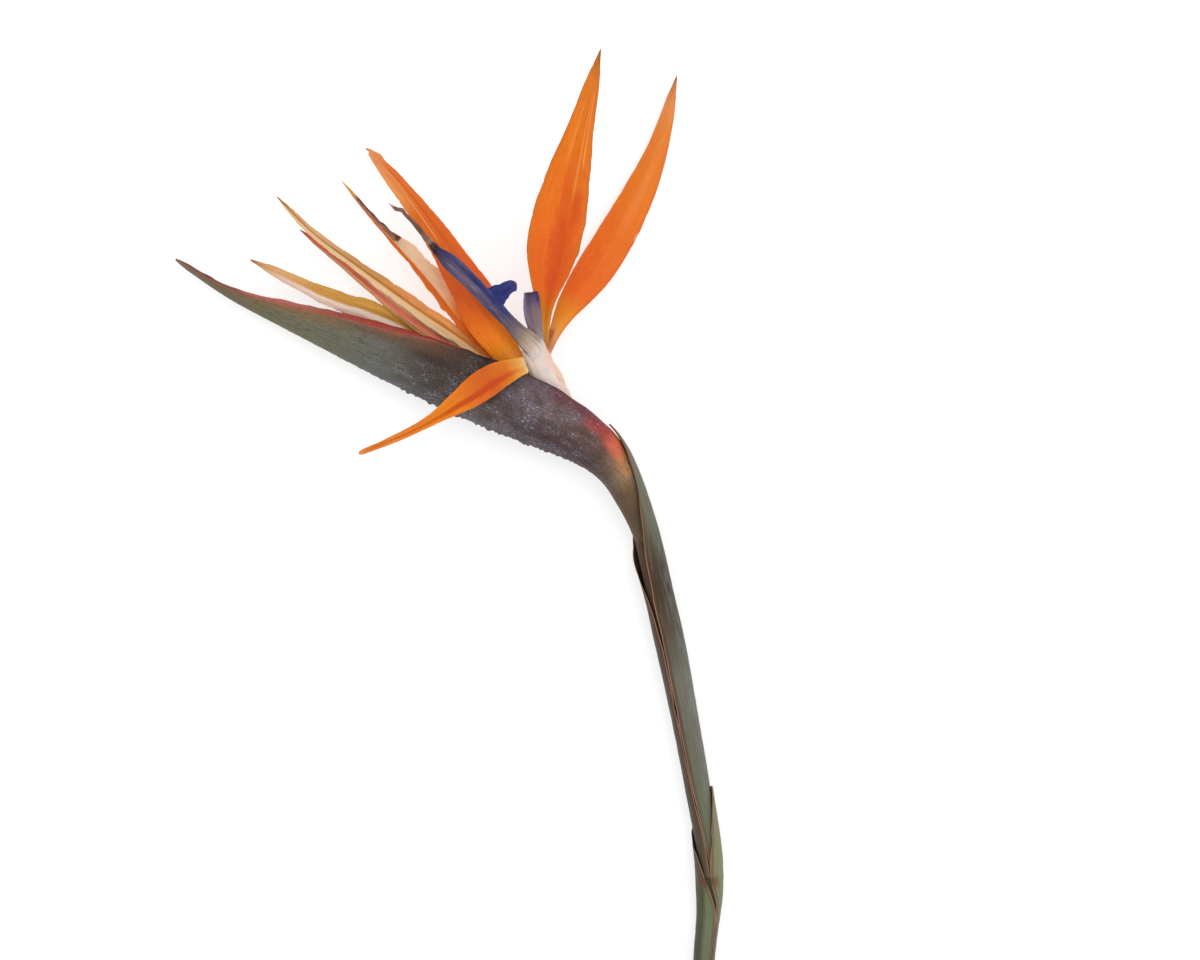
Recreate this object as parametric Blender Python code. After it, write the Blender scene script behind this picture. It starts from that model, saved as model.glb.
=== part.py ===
"""A cut bird of paradise flower (Strelitzia), lying on its side on a flat surface.

The stem lies along -Y, the boat-shaped spathe points to -X, and the florets stand out of the
spathe's open upper side.  +Z is up, away from the surface.  The shape is drawn in millimetres
from the neck, where the spathe meets the stem, and moved at the end so that the origin is
under the middle of the whole flower.
"""

from math import pi, radians

import bpy
import numpy as np

MM = 0.001                # metres in a millimetre
UP = np.array([0.0, 0.0, 1.0])

# ---------------------------------------------------------------- driving dimensions, in mm
# Centre line of the stem, from the cut end up through the neck and into the spathe.
STEM_LINE = [(35.4, -240, 5.0), (35.3, -186, 5.0), (37.3, -163, 5.2), (36.9, -148, 5.4),
             (33.4, -125, 5.4), (27.8, -94, 5.6), (21.8, -64, 6.4), (14, -32, 7.8), (8.5, -14, 8.8),
             (3.4, -2.5, 9.4), (-6.5, 8.6, 9.6), (-21.5, 14.6, 9.6)]
STEM_RADIUS = [(0, 3.2), (0.28, 3.3), (0.335, 3.5), (0.43, 3.9), (0.54, 4.3), (0.65, 4.9),
               (0.74, 4.8), (0.77, 3.9), (0.9, 3.9), (1, 2.9)]

# Centre line of the spathe, from its base round the stem to its tip.
SPATHE_LINE = [(12.6, -27, 8.2), (8.5, -14, 8.8), (3.4, -2.5, 9.4), (-5.2, 8, 9.8),
               (-16, 15.2, 10.3), (-27.4, 20.7, 10.6), (-50.8, 30.6, 10.4), (-74.2, 40.3, 9.0),
               (-97.8, 49.7, 7.2), (-122, 58.6, 5.6), (-145.8, 67.6, 4.8), (-166.6, 80.4, 4.2)]
# Along the spathe: half depth from keel to margin, half thickness, how far the mouth is open.
SPATHE_DEPTH = [(0, 5.4), (0.063, 5.7), (0.12, 6.5), (0.183, 8.9), (0.243, 10.9), (0.3, 12.0),
                (0.42, 12.4), (0.535, 11.2), (0.652, 8.9), (0.77, 5.5), (0.888, 2.2), (1, 0.8)]
SPATHE_HALF_THICK = [(0, 5.4), (0.063, 5.7), (0.12, 6.4), (0.183, 8.4), (0.3, 10.5), (0.42, 10.3),
                     (0.535, 8.8), (0.652, 6.8), (0.77, 4.6), (0.888, 2.2), (1, 0.8)]
SPATHE_MOUTH = [(0, 0.04), (0.19, 0.04), (0.25, 0.3), (0.31, 0.8), (0.45, 0.84), (0.55, 0.74),
                (0.66, 0.42), (0.76, 0.16), (0.85, 0.2), (1, 0.5)]
SPATHE_WALL = 1.3

SHEATH_WALL = 0.45
TANGENT_STEP = 1e-3


# ---------------------------------------------------------------- curves and lofts
def through(knots, values, at):
    """Values at the given places of a smooth curve through the knots."""
    knots = np.asarray(knots, float)
    values = np.asarray(values, float).reshape(len(knots), -1)
    at = np.clip(np.asarray(at, float), knots[0], knots[-1])
    slopes = np.gradient(values, knots, axis=0)
    left = np.clip(np.searchsorted(knots, at, side="right") - 1, 0, len(knots) - 2)
    span = (knots[left + 1] - knots[left])[:, None]
    u = (at - knots[left])[:, None] / span
    return (
        (2 * u**3 - 3 * u**2 + 1) * values[left]
        + (u**3 - 2 * u**2 + u) * span * slopes[left]
        + (3 * u**2 - 2 * u**3) * values[left + 1]
        + (u**3 - u**2) * span * slopes[left + 1]
    )


def profile(pairs, at):
    """A number that changes along a piece, given as (place from 0 to 1, value) pairs."""
    return through([p[0] for p in pairs], [p[1] for p in pairs], at)[:, 0]


def along(line, at):
    """Points and unit tangents of a centre line, at places from 0 to 1 of its length."""
    line = np.array(line, float)
    knots = np.r_[0, np.cumsum(np.linalg.norm(np.diff(line, axis=0), axis=1))]
    at = np.asarray(at, float)
    points = through(knots, line, at * knots[-1])
    ahead = through(knots, line, np.minimum(at + TANGENT_STEP, 1) * knots[-1])
    behind = through(knots, line, np.maximum(at - TANGENT_STEP, 0) * knots[-1])
    tangents = ahead - behind
    return points, tangents / np.linalg.norm(tangents, axis=1)[:, None]


def axes_across(tangents):
    """Two directions across a line: to the right of travel, and upwards."""
    side = np.cross(tangents, UP)
    side /= np.linalg.norm(side, axis=1)[:, None]
    return side, np.cross(side, tangents)


def finish(name, colour, roughness):
    material = bpy.data.materials.new(name)
    material.use_nodes = True
    shader = material.node_tree.nodes["Principled BSDF"]
    shader.inputs["Base Color"].default_value = (*colour, 1)
    shader.inputs["Roughness"].default_value = roughness
    shader.inputs["Metallic"].default_value = 0
    return material


def loft(name, rings, material):
    """A closed solid through rings of points, each ring anticlockwise seen from its far end."""
    rings = np.asarray(rings, float)
    count, size = rings.shape[:2]
    faces = []
    for i in range(count - 1):
        for j in range(size):
            k = (j + 1) % size
            faces.append((i * size + j, i * size + k, (i + 1) * size + k, (i + 1) * size + j))
    faces.append(tuple(reversed(range(size))))
    faces.append(tuple((count - 1) * size + j for j in range(size)))
    mesh = bpy.data.meshes.new(name)
    mesh.from_pydata(rings.reshape(-1, 3) * MM, [], faces)
    mesh.validate()
    mesh.materials.append(material)
    mesh.shade_smooth()
    mesh.set_sharp_from_angle(angle=radians(50))
    part = bpy.data.objects.new(name, mesh)
    bpy.context.collection.objects.link(part)
    return part


def rod(name, material, line, radius, flat=1.0, stations=24, sides=16):
    """A solid round or flattened stalk: flat is its height over its width."""
    t = np.linspace(0, 1, stations)
    points, tangents = along(line, t)
    right, top = axes_across(tangents)
    width = profile(radius, t)
    angle = 2 * pi * np.arange(sides) / sides
    rings = (
        points[:, None]
        + right[:, None] * (width[:, None] * np.cos(angle))[..., None]
        + top[:, None] * (flat * width[:, None] * np.sin(angle))[..., None]
    )
    return loft(name, rings[:, ::-1], material)


def petal(name, material, line, half_width, fold=0.0, thick=0.9, stations=15):
    """A leaf-like blade. fold is how far its margins stand above its midrib, as in a trough,
    or below it if negative; it fades with the width towards both ends."""
    t = np.linspace(0, 1, stations)
    points, tangents = along(line, t)
    right, top = axes_across(tangents)
    width = profile(half_width, t)
    lift = fold * width / width.max()
    faces = {1: [], -1: []}
    for u in np.linspace(-1, 1, 7):
        for side, row in faces.items():
            height = lift * abs(u) ** 1.4 + side * 0.5 * thick * (1 - 0.55 * u * u)
            row.append(points + right * (width * u)[:, None] + top * height[:, None])
    return loft(name, np.stack(faces[1] + faces[-1][::-1], axis=1), material)


def shell(name, material, points, right, top, outer, inner):
    """An open trough or wrapped sheath: outer and inner give each ring's (right, top) offsets."""
    rings = []
    for out, back in ((outer, 1), (inner, -1)):
        ring = points[:, None] + right[:, None] * out[0][..., None] + top[:, None] * out[1][..., None]
        rings.append(ring[:, ::back])
    return loft(name, np.concatenate(rings, axis=1)[:, ::-1], material)


# ---------------------------------------------------------------- stem, spathe and sheaths
def make_stem(material):
    return rod("stem", material, STEM_LINE, STEM_RADIUS, stations=34, sides=18)


def spathe_outline(t, inset, a):
    """The folded bract's cross-section: a runs from 1 at the near margin through 0 at the keel
    to -1 at the far margin."""
    wall = np.minimum(inset, 0.3 * profile(SPATHE_DEPTH, t))
    depth = profile(SPATHE_DEPTH, t) - wall
    half = profile(SPATHE_HALF_THICK, t) - wall
    mouth = profile(SPATHE_MOUTH, t)[:, None]
    reach = np.abs(a)[None, :]
    bulge = np.sin(pi * reach) ** 1.15 * (1 - mouth * reach**2) + mouth * reach**2
    return -depth[:, None] * np.cos(pi * reach), half[:, None] * bulge * np.sign(a)


def make_spathe(material):
    t = np.linspace(0, 1, 26)
    points, tangents = along(SPATHE_LINE, t)
    right, top = axes_across(tangents)
    a = np.linspace(1, -1, 17)
    return shell("spathe", material, points, right, top,
                 spathe_outline(t, 0, a), spathe_outline(t, SPATHE_WALL, a))


def make_sheath(name, material, line, inner_radius, start, end, stations=22):
    """A sheath wrapped round the stem. start and end are the angles of its two margins, in
    degrees from the stem's right side over the top, and it wraps from start down to end."""
    t = np.linspace(0, 1, stations)
    points, tangents = along(line, t)
    right, top = axes_across(tangents)
    angle = np.radians(np.linspace(profile(start, t), profile(end, t), 17, axis=1))
    inside = profile(inner_radius, t)[:, None]
    outside = inside + SHEATH_WALL
    return shell(name, material, points, right, top,
                 (inside * np.cos(angle), inside * np.sin(angle)),
                 (outside * np.cos(angle), outside * np.sin(angle)))


def make_upper_sheath(material):
    """Its tip lies on the back of the neck, and its foot is tucked into the lower sheath."""
    line = [(37.2, -156, 5.3), (36.9, -148, 5.4), (33.4, -125, 5.4), (27.8, -94, 5.6),
            (21.8, -64, 6.4), (14, -32, 7.8), (8.5, -14, 8.8), (3.4, -2.5, 9.4), (-5.2, 8, 9.8),
            (-8.8, 10.8, 9.9)]
    inner = [(0, 3.8), (0.08, 3.95), (0.18, 4.3), (0.36, 4.75), (0.53, 5.35), (0.65, 5.3),
             (0.73, 5.85), (0.82, 6.05), (0.89, 6.9), (0.965, 9.35), (1, 10.1)]
    start = [(0, 100), (0.2, 125), (0.5, 115), (0.7, 100), (0.88, 50), (1, 5)]
    end = [(0, -200), (0.5, -190), (0.7, -150), (0.88, -60), (1, -5)]
    return make_sheath("upper_sheath", material, line, inner, start, end, 30)


def make_lower_sheath(material):
    """It closes round the cut end and opens upwards to a tip on the stem's right side."""
    line = [(35.4, -240, 5.0), (35.3, -186, 5.0), (37.3, -163, 5.2), (36.9, -148, 5.4),
            (34.2, -130, 5.4), (32.5, -120, 5.4)]
    inner = [(0, 3.55), (0.45, 3.7), (0.58, 4.1), (0.66, 4.8), (0.78, 5.05), (1, 5.4)]
    start = [(0, 86), (0.6, 86), (0.7, 84), (0.8, 64), (0.92, 40), (1, 14)]
    end = [(0, -262), (0.6, -262), (0.7, -252), (0.8, -215), (0.92, -90), (1, -12)]
    return make_sheath("lower_sheath", material, line, inner, start, end)


# ---------------------------------------------------------------- the fresh floret
def make_fresh_floret(white, bract, orange, blue, dark):
    rod("fresh_floret_base", white,
        [(-14.5, 18.6, 11), (-20.8, 29, 12), (-27, 38.8, 14), (-29, 45.2, 15.4)],
        [(0, 2.9), (0.4, 4.5), (0.75, 5.0), (1, 4.6)], flat=0.62, stations=10)
    make_bract(bract)
    petal("tall_sepal", orange,
          [(-25.6, 48.4, 14.2), (-25.2, 62, 17.5), (-22.8, 79, 22.5), (-17.3, 104.5, 30),
           (-10.6, 130, 38), (-4.2, 154.6, 45)],
          [(0, 1.5), (0.12, 2.9), (0.27, 8.8), (0.38, 10.3), (0.52, 9.1), (0.75, 4.7), (0.9, 2.6),
           (1, 0.3)], fold=4.0)
    petal("right_sepal", orange,
          [(-23.7, 46.6, 14), (-17.6, 60.6, 12.6), (-8.6, 73, 11.2), (5.9, 96.7, 9), (17.6, 122.9, 6.2),
           (24.9, 150.8, 3.2)],
          [(0, 0.9), (0.12, 3.9), (0.25, 6.8), (0.4, 7.4), (0.6, 6.0), (0.8, 3.4), (0.9, 2.3),
           (1, 0.3)], fold=-3.2)
    petal("drooping_sepal", orange,
          [(-33.4, 39.2, 20.2), (-41.6, 35.9, 22.8), (-55.9, 26.2, 25.5), (-70.7, 16.6, 29),
           (-83, 10.8, 31.6), (-94.1, 6, 34)],
          [(0, 2.6), (0.12, 4.9), (0.25, 5.7), (0.38, 4.6), (0.5, 2.9), (0.62, 1.9), (0.8, 1.3),
           (1, 0.3)],
          fold=2.0)
    make_arrow(blue)
    petal("hood_petal", blue,
          [(-27.4, 48.2, 16.9), (-29.4, 57, 19.4), (-30.4, 66.6, 22)],
          [(0, 1.6), (0.4, 3.3), (0.9, 3.0), (1, 2.6)], fold=-1.6, thick=0.8, stations=8)
    petal("withered_style", dark,
          [(-66.4, 83.0, 30.6), (-71.5, 89.2, 31.6), (-79.3, 96.6, 32.6), (-83.4, 99.2, 33)],
          [(0, 1.0), (0.3, 1.3), (0.7, 0.9), (1, 0.4)], thick=1.1, stations=8)


def make_bract(material):
    """The thin bract that clasps the fresh floret's base on its right side."""
    t = np.linspace(0, 1, 8)
    points, tangents = along([(-19.6, 27.6, 11.9), (-23.4, 33.4, 12.8), (-27, 38.8, 14), (-28.4, 43.2, 15)], t)
    right, top = axes_across(tangents)
    angle = np.radians(np.linspace(profile([(0, 62), (1, 22)], t), profile([(0, -62), (1, -22)], t), 9, axis=1))
    inside = profile([(0, 4.9), (0.3, 5.5), (1, 5.35)], t)[:, None]
    outside = inside + 0.5
    shell("floret_bract", material, points, right, top,
          (inside * np.cos(angle), 0.68 * inside * np.sin(angle)),
          (outside * np.cos(angle), 0.68 * outside * np.sin(angle)))


def make_arrow(material):
    """The two fused blue petals: a long tongue with a lobe on each side near its foot."""
    tongue = petal("arrow_petals", material,
                   [(-29.4, 46.6, 19.4), (-34, 50.8, 20.4), (-42.7, 59.8, 23), (-51.8, 69.4, 26),
                    (-61, 78, 29), (-66.0, 82.3, 30.4)],
                   [(0, 4.3), (0.12, 3.3), (0.25, 2.6), (0.45, 3.0), (0.7, 3.1), (0.9, 2.8),
                    (1, 0.9)], fold=-1.3, thick=1.5, stations=14)
    lobes = (
        [(-47.5, 63.2, 23.6), (-42.4, 65.4, 23.6), (-35.8, 68.6, 24.4)],
        [(-46.5, 62.4, 23.2), (-43, 63.6, 20.6), (-38.6, 66, 17.6)],
    )
    for i, line in enumerate(lobes):
        lobe = petal(f"arrow_lobe_{i}", material, line,
                     [(0, 1.2), (0.45, 2.2), (0.85, 1.8), (1, 1.0)], thick=1.2, stations=7)
        lobe.hide_render = True
        lobe.display_type = "WIRE"
        join = tongue.modifiers.new("lobe", "BOOLEAN")
        join.operation = "UNION"
        join.object = lobe


# ---------------------------------------------------------------- the two older florets
def make_second_floret(white, orange, fading):
    rod("second_floret_base", white,
        [(-23, 15.5, 11), (-30.5, 27, 12), (-37, 40, 13.4)],
        [(0, 2.4), (0.5, 3.3), (1, 3.7)], flat=0.5, stations=8, sides=12)
    petal("second_tall_sepal", orange,
          [(-37.4, 40.8, 14.2), (-45, 52.5, 14.8), (-51, 63.7, 15), (-63.4, 84.2, 15.2),
           (-77.3, 103.5, 16), (-92.7, 121.5, 17.4)],
          [(0, 4.0), (0.12, 7.0), (0.25, 8.2), (0.38, 6.8), (0.5, 5.6), (0.75, 3.6), (0.9, 2.6),
           (1, 0.4)], fold=-2.2)
    petal("second_folded_sepal", fading,
          [(-40.5, 41.6, 9.9), (-55.3, 57.4, 9.9), (-66.2, 71, 9.8), (-74.2, 79.4, 9.7),
           (-82, 87, 10), (-89.5, 94.7, 11), (-102.6, 109.8, 13)],
          [(0, 2.8), (0.25, 4.8), (0.42, 4.3), (0.55, 3.0), (0.67, 2.0), (0.8, 1.3), (1, 0.4)], fold=1.0,
          thick=0.8)


def make_faded_floret(white, fading, pale):
    rod("faded_floret_base", white,
        [(-23.4, 12.6, 8), (-33, 22, 7.2), (-41, 31, 7.0)],
        [(0, 2.2), (0.5, 2.8), (1, 3.0)], flat=0.5, stations=8, sides=12)
    petal("faded_tan_sepal", fading,
          [(-42.6, 38.6, 8.2), (-57, 50, 8), (-70.5, 59, 7.9), (-87, 70.6, 8.6), (-97.9, 78.5, 9.8),
           (-112.6, 89.1, 12), (-126.8, 103.4, 15)],
          [(0, 2.6), (0.25, 3.2), (0.5, 2.6), (0.8, 1.5), (0.93, 1.2), (1, 0.4)], fold=0.6,
          thick=0.7)
    petal("faded_long_sepal", pale,
          [(-43, 33.4, 6.4), (-57, 46.5, 6.3), (-69, 54.4, 6.2), (-80.5, 62.4, 6),
           (-98.8, 76.8, 5.2), (-119.2, 91.8, 4.4)],
          [(0, 2.6), (0.25, 4.4), (0.45, 4.2), (0.7, 2.8), (0.9, 1.5), (1, 0.4)], fold=0.8,
          thick=0.7)
    petal("faded_low_sepal", pale,
          [(-43.4, 30.6, 4.7), (-60, 43.6, 4.5), (-76, 53.4, 4.5), (-92, 60.8, 4.8),
           (-106, 65, 5.2), (-122, 72.5, 6.8), (-137.5, 80, 9)],
          [(0, 2.0), (0.3, 3.4), (0.6, 3.8), (0.8, 2.6), (0.93, 1.7), (1, 0.4)], fold=0.5,
          thick=0.7)


# ---------------------------------------------------------------- the whole flower
def clear_scene():
    for thing in list(bpy.data.objects):
        bpy.data.objects.remove(thing)


def set_on_surface():
    """Puts the origin under the middle of the flower, at the height of its lowest point."""
    bpy.context.view_layer.update()
    graph = bpy.context.evaluated_depsgraph_get()
    parts = [o for o in bpy.data.objects if o.type == "MESH" and not o.hide_render]
    corners = np.concatenate([[v.co[:] for v in o.evaluated_get(graph).data.vertices] for o in parts])
    low, high = corners.min(axis=0), corners.max(axis=0)
    holder = bpy.data.objects.new("flower", None)
    bpy.context.collection.objects.link(holder)
    holder.location = (-(low[0] + high[0]) / 2, -(low[1] + high[1]) / 2, -low[2])
    for thing in bpy.data.objects:
        if thing is not holder:
            thing.parent = holder


def main():
    clear_scene()
    green = finish("stem green", (0.16, 0.2, 0.11), 0.5)
    sheath_green = finish("sheath green", (0.2, 0.26, 0.2), 0.55)
    dusky = finish("spathe grey-green and purple", (0.15, 0.13, 0.12), 0.5)
    orange = finish("sepal orange", (0.82, 0.24, 0.02), 0.45)
    fading = finish("fading sepal", (0.78, 0.42, 0.16), 0.55)
    pale = finish("pale sepal", (0.8, 0.66, 0.36), 0.55)
    blue = finish("petal blue", (0.06, 0.05, 0.24), 0.4)
    white = finish("floret base white", (0.82, 0.76, 0.68), 0.5)
    pink = finish("bract pink-white", (0.82, 0.66, 0.56), 0.5)
    dark = finish("withered brown", (0.07, 0.05, 0.05), 0.8)
    make_stem(green)
    make_lower_sheath(sheath_green)
    make_upper_sheath(sheath_green)
    make_spathe(dusky)
    make_fresh_floret(white, pink, orange, blue, dark)
    make_second_floret(white, orange, fading)
    make_faded_floret(white, fading, pale)
    set_on_surface()


main()
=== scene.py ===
"""A cut bird of paradise flower (Strelitzia), lying on its side on a pale table.

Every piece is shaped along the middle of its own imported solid, in millimetres, with +Z up.  A
place on a piece is told by two numbers: along, from 0 at its root to 1 at its far end, and
across, from -1 to 1 between its margins.  Both are stored in the mesh, and the skins use them.
"""

from math import pi, radians

import bpy
import numpy as np
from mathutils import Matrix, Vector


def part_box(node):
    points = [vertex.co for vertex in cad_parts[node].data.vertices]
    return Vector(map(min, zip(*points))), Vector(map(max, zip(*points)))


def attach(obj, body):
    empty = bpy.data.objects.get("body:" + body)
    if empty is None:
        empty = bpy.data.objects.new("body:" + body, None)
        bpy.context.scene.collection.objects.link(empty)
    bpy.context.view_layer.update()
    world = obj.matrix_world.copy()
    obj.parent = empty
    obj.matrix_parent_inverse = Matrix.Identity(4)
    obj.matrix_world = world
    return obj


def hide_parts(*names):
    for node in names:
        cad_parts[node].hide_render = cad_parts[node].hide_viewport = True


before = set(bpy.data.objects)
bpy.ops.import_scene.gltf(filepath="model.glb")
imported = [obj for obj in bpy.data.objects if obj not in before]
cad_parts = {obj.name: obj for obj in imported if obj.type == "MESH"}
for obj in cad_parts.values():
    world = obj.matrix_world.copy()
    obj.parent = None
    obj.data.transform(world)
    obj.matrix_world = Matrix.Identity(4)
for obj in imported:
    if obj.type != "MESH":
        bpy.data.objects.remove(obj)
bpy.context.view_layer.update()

# ================================================================ the stem
# The flower stalk is a solid green rod, as thick as a pencil, cut square at its foot. Its upper
# end runs into the base of the spathe. It shows between the margins of the sheaths round it.
MM = 0.001
UP = np.array([0.0, 0.0, 1.0])


def corners(node):
    """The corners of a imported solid's triangles, in millimetres."""
    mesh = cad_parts[node].data
    mesh.calc_loop_triangles()
    points = np.empty(3 * len(mesh.vertices))
    mesh.vertices.foreach_get("co", points)
    index = np.empty(3 * len(mesh.loop_triangles), int)
    mesh.loop_triangles.foreach_get("vertices", index)
    return points.reshape(-1, 3)[index].reshape(-1, 3, 3) / MM


def cut(faces, point, normal, reach=45.0):
    """Where the plane through a point meets a solid's edges, no further away than reach."""
    height = (faces - point) @ normal
    met = []
    for i, j in ((0, 1), (1, 2), (2, 0)):
        over = height[:, i] * height[:, j] < 0
        share = height[over, i] / (height[over, i] - height[over, j])
        met.append(faces[over, i] + share[:, None] * (faces[over, j] - faces[over, i]))
    met = np.concatenate(met) - point
    return met[np.linalg.norm(met, axis=1) < reach]


def through(knots, values, at):
    """Values at the given places of a smooth curve through the knots."""
    knots = np.asarray(knots, float)
    values = np.asarray(values, float).reshape(len(knots), -1)
    at = np.clip(np.asarray(at, float), knots[0], knots[-1])
    slopes = np.gradient(values, knots, axis=0)
    left = np.clip(np.searchsorted(knots, at, side="right") - 1, 0, len(knots) - 2)
    span = (knots[left + 1] - knots[left])[:, None]
    u = (at - knots[left])[:, None] / span
    return (
        (2 * u**3 - 3 * u**2 + 1) * values[left]
        + (u**3 - 2 * u**2 + u) * span * slopes[left]
        + (3 * u**2 - 2 * u**3) * values[left + 1]
        + (u**3 - u**2) * span * slopes[left + 1]
    )


def profile(pairs, at):
    """A number that changes along a piece, given as (place from 0 to 1, value) pairs."""
    return through([p[0] for p in pairs], [p[1] for p in pairs], at)[:, 0]


def directions(tangent):
    """A line's tangents at unit length, and two directions across it: to the right, and up."""
    tangent = tangent / np.linalg.norm(tangent, axis=1)[:, None]
    side = np.cross(tangent, UP)
    side /= np.linalg.norm(side, axis=1)[:, None]
    return tangent, side, np.cross(side, tangent)


def smoothed(values, times):
    """Values along a line, each averaged with its neighbours a number of times."""
    values = np.array(values, float)
    for _ in range(times):
        values[1:-1] = (values[:-2] + 2 * values[1:-1] + values[2:]) / 4
    return values


NOWHERE = (2.0, 2.0)       # past the end of every piece
STEP = 0.002               # how far apart along a line the places are that tell its direction


class Midline:
    """The middle of a solid, from its end nearest the root node to its far end, with the half
    width, the height of its margins above its middle, and the depth of its sections. The
    sections nearer an end than edge, and those that it is bridged over, are not measured."""

    def __init__(self, node, root, stations=61, edge=0.02, bridged=NOWHERE):
        self.faces = corners(node)
        self.share = np.linspace(0, 1, stations)
        self.edge, self.bridged = edge, bridged
        points = self.faces.reshape(-1, 3)
        middle = points.mean(axis=0)
        low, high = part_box(root)
        axis = np.linalg.svd(points - middle, full_matrices=False)[2][0]
        axis *= -np.sign((np.array(low + high) / 2 / MM - middle) @ axis)
        place = (points - middle) @ axis
        self.line = middle + np.linspace(place.min(), place.max(), stations)[:, None] * axis
        for _ in range(6):
            self.settle(points)

    def settle(self, points):
        """Moves the line to the middle of the sections across it, and measures them."""
        tangent, side, up = directions(np.gradient(smoothed(self.line, 3), axis=0))
        rows = []
        for i, share in enumerate(self.share[1:-1], 1):
            met = cut(self.faces, self.line[i], tangent[i])
            bridged = self.bridged[0] < share < self.bridged[1]
            if len(met) < 6 or bridged or min(share, 1 - share) < self.edge:
                continue
            across, high = met @ side[i], met @ up[i]
            middle, half = (across.max() + across.min()) / 2, (across.max() - across.min()) / 2
            inner = high[np.abs(across - middle) < 0.25 * half]
            outer = high[np.abs(across - middle) > 0.85 * half]
            level = (inner.max() + inner.min()) / 2 if len(inner) else high.mean()
            centre = self.line[i] + middle * side[i] + level * up[i]
            gape = np.ptp(high[across - middle > 0.93 * half])
            rows.append((share, *centre, half, outer.mean() - level, np.ptp(high), gape))
        rows = np.array(rows)
        centres = rows[:, 1:4]
        ends = []
        for near, far in ((0, 3), (-1, -4)):
            outward = centres[near] - centres[far]
            outward /= np.linalg.norm(outward)
            beyond = ((points - centres[near]) @ outward).max()
            ends.append(centres[near] + outward * beyond)
        knots = np.r_[0, rows[:, 0], 1]
        centres = np.array([ends[0], *centres, ends[1]])
        line = np.stack([np.interp(self.share, knots, c) for c in centres.T], axis=1)
        sizes = [np.interp(self.share, rows[:, 0], c) for c in rows.T[4:]]
        steps = np.linalg.norm(np.diff(line, axis=0), axis=1)
        length = np.r_[0, np.cumsum(steps)]
        even = self.share * length[-1]
        self.line = np.stack([np.interp(even, length, c) for c in line.T], axis=1)
        self.half, self.lift, self.depth, self.gape = sizes
        self.length = length[-1]

    def at(self, t):
        """Points of the line and the two directions across it, at places t from 0 to 1."""
        line = through(self.share, smoothed(self.line, 4), np.r_[t, t + STEP, t - STEP])
        here, ahead, behind = line.reshape(3, len(t), 3)
        return here, *directions(ahead - behind)[1:]

    def size(self, values, t, times=6):
        """One of the measured sizes, at places t."""
        return through(self.share, smoothed(values, times), t)[:, 0]


def wobble(seed, knots, t):
    """Smooth random unevenness along a piece, from -1 to 1."""
    values = np.random.default_rng(seed).uniform(-1, 1, knots)
    return through(np.linspace(0, 1, knots), values, t)[:, 0]


def ripple(seed, knots, t, u):
    """Smooth random unevenness over a piece, from -1 to 1, at places t along and u across."""
    grid = np.random.default_rng(seed).uniform(-1, 1, knots)
    rows = through(np.linspace(0, 1, knots[0]), grid, t)
    return through(np.linspace(-1, 1, knots[1]), rows.T, u).T


def turns(count):
    """The angles of a number of points round a section."""
    return -2 * pi * np.arange(count) / count


def placed(line, right, high):
    """Points at distances to the right of a line and above it. The line comes as Midline.at gives
    it: its points, and the directions to the right and up."""
    point, side, up = (each[:, None] for each in line)
    return point + side * right[..., None] + up * high[..., None]


MAP_END = 0.03             # the share of the flat map at each side that is left for an end
MAP_DISC = 0.012           # an end's radius in it


def lofted(name, rings, along, **fields):
    """A closed mesh through rings of points, with the named fields stored at its points."""
    rings = np.asarray(rings, float)
    count, size = rings.shape[:2]
    i, j = np.meshgrid(np.arange(count - 1), np.arange(size), indexing="ij")
    k = (j + 1) % size
    sides = np.stack([i * size + j, i * size + k, (i + 1) * size + k, (i + 1) * size + j], axis=-1)
    ends = [list(range(size - 1, -1, -1)), list(range((count - 1) * size, count * size))]
    mesh = bpy.data.meshes.new(name)
    mesh.from_pydata((rings.reshape(-1, 3) * MM).tolist(), [], sides.reshape(-1, 4).tolist() + ends)
    fields["along"] = np.broadcast_to(np.reshape(along, (count, -1)), (count, size))
    for field, values in fields.items():
        layer = mesh.attributes.new(field, "FLOAT", "POINT")
        flat = np.broadcast_to(values, (count, size)).astype(np.float32).ravel()
        layer.data.foreach_set("value", flat)
    # The flat map for textures: the rings fill the middle, and the two ends lie beside them.
    length = 1 - 2 * MAP_END
    u, v = MAP_END + length * i / (count - 1), j / size
    du, dv = length / (count - 1), 1 / size
    flat = np.stack([u, v, u, v + dv, u + du, v + dv, u + du, v], axis=-1).reshape(-1, 2)
    turn = 2 * pi * np.arange(size) / size
    disc = MAP_DISC * np.stack([np.cos(turn), np.sin(turn)], axis=-1)
    flat = np.concatenate([flat, disc[::-1] + (0.013, 0.5), disc * (1, -1) + (0.987, 0.5)])
    mesh.uv_layers.new(name="OFBake").data.foreach_set("uv", flat.ravel())
    mesh.shade_smooth()
    mesh.set_sharp_from_angle(angle=radians(60))
    piece = bpy.data.objects.new(name, mesh)
    bpy.context.scene.collection.objects.link(piece)
    return piece


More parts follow.
